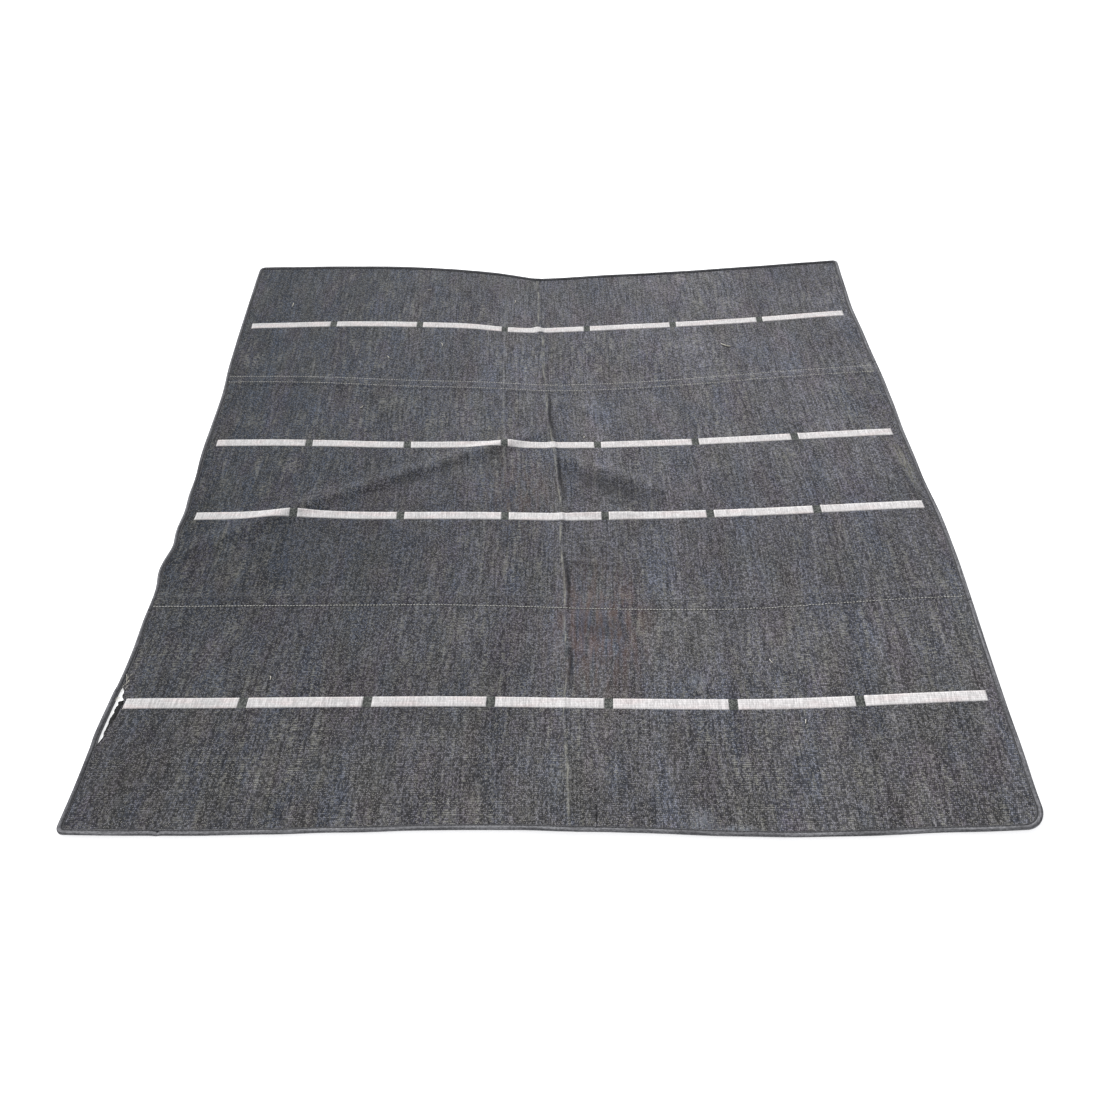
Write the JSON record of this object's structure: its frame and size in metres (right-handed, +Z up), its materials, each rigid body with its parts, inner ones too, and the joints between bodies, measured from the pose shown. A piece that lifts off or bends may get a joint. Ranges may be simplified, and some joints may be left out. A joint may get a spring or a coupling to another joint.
{
  "type": "camp blanket",
  "caption": "Flat-woven dark wool camp blanket of joined cloth lengths with a corded bound edge and rows of pale woven dashes; outer cloths fold over the middle.",
  "frame": {"origin": "on the ground under the middle of the spread blanket", "axes": "+X along the rows of dashes, +Y from the front edge to the back edge, +Z up"},
  "size_m": [2, 1.98, 0.008],
  "materials": {
    "ground_weave": "matte woven wool, charcoal with pale flecks",
    "pale_weave": "matte woven wool, off-white",
    "binding_tape": "matte rolled cotton tape, dark grey",
    "seam_thread": "matte cotton thread, pale grey",
    "edge_thread": "matte cotton thread, near black"
  },
  "bodies": {
    "middle": {"middle_cloth": "ground_weave", "front_seam_strip": "ground_weave", "back_seam_strip": "ground_weave", "middle_near_dash_1": "pale_weave", "middle_near_dash_2": "pale_weave", "middle_near_dash_3": "pale_weave", "middle_near_dash_4": "pale_weave", "middle_near_dash_5": "pale_weave", "middle_near_dash_6": "pale_weave", "middle_near_dash_7": "pale_weave", "middle_far_dash_1": "pale_weave", "middle_far_dash_2": "pale_weave", "middle_far_dash_3": "pale_weave", "middle_far_dash_4": "pale_weave", "middle_far_dash_5": "pale_weave", "middle_far_dash_6": "pale_weave", "middle_far_dash_7": "pale_weave", "front_seam_stitching_near": "seam_thread", "front_seam_stitching_far": "seam_thread", "back_seam_stitching_near": "seam_thread", "back_seam_stitching_far": "seam_thread", "left_binding": "binding_tape", "left_binding_stitching": "edge_thread", "right_binding": "binding_tape", "right_binding_stitching": "edge_thread"},
    "front": {"front_cloth": "ground_weave", "front_dash_1": "pale_weave", "front_dash_2": "pale_weave", "front_dash_3": "pale_weave", "front_dash_4": "pale_weave", "front_dash_5": "pale_weave", "front_dash_6": "pale_weave", "front_dash_7": "pale_weave", "front_binding": "binding_tape", "front_binding_stitching": "edge_thread"},
    "back": {"back_cloth": "ground_weave", "back_dash_1": "pale_weave", "back_dash_2": "pale_weave", "back_dash_3": "pale_weave", "back_dash_4": "pale_weave", "back_dash_5": "pale_weave", "back_dash_6": "pale_weave", "back_dash_7": "pale_weave", "back_binding": "binding_tape", "back_binding_stitching": "edge_thread"}
  },
  "joints": [
    {"name": "front_fold", "type": "hinge", "parent": "middle", "child": "front", "pos_m": [0, -0.485, 0.011], "axis": [-1, 0, 0], "range_deg": [0, 179.5]},
    {"name": "back_fold", "type": "hinge", "parent": "middle", "child": "back", "pos_m": [0, 0.463, 0.018], "axis": [1, 0, 0], "range_deg": [0, 179.5]}
  ]
}
